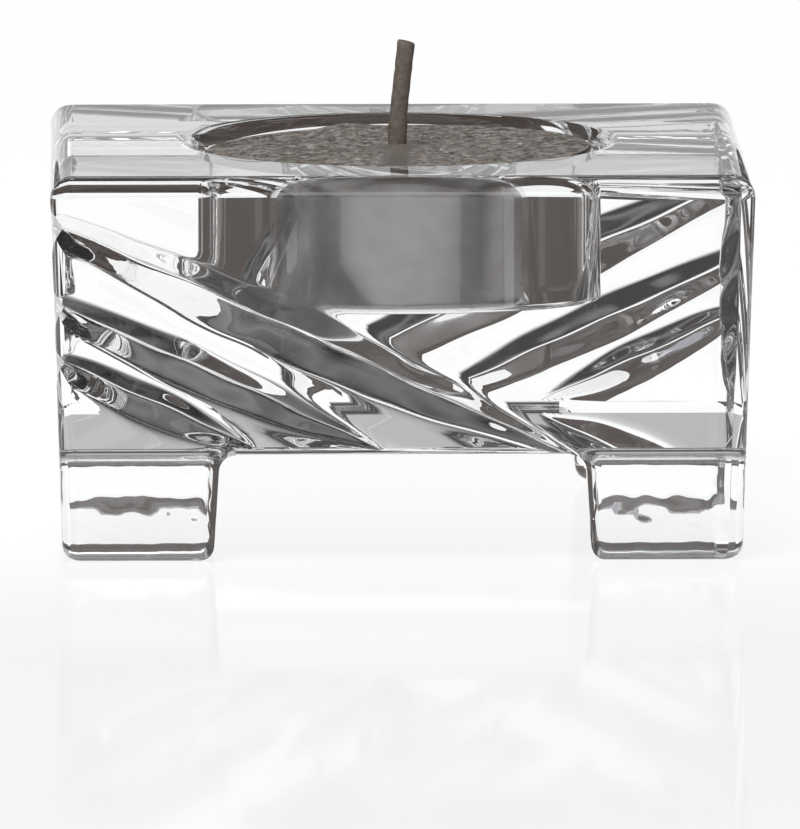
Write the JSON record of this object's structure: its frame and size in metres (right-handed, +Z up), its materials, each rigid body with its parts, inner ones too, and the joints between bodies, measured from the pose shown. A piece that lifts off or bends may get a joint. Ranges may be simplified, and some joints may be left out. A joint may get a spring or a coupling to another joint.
{
  "type": "tealight holder",
  "caption": "Clear cut-crystal block with integral corner feet, diagonal V-cuts and a round well that holds a lift-out tealight in an aluminium cup.",
  "frame": {"origin": "on the ground plane, under the middle of the block", "axes": "+X to the right seen from the front, +Y from front to back, +Z up; the front wall faces -Y"},
  "size_m": [0.0678, 0.0614, 0.0473],
  "materials": {
    "crystal": "clear polished crystal",
    "cup_aluminium": "satin pressed aluminium",
    "wax": "taupe wax with a fine grain",
    "wick": "waxed cotton braid",
    "sustainer": "thin bright steel"
  },
  "bodies": {
    "holder": {"glass_block": "crystal"},
    "tealight": {"candle_cup": "cup_aluminium", "wax": "wax", "wick": "wick", "wick_sustainer": "sustainer"}
  },
  "joints": [
    {"name": "tealight_lift", "type": "slide", "parent": "holder", "child": "tealight", "axis": [0, 0, 1], "range_m": [0, 0.03]}
  ]
}
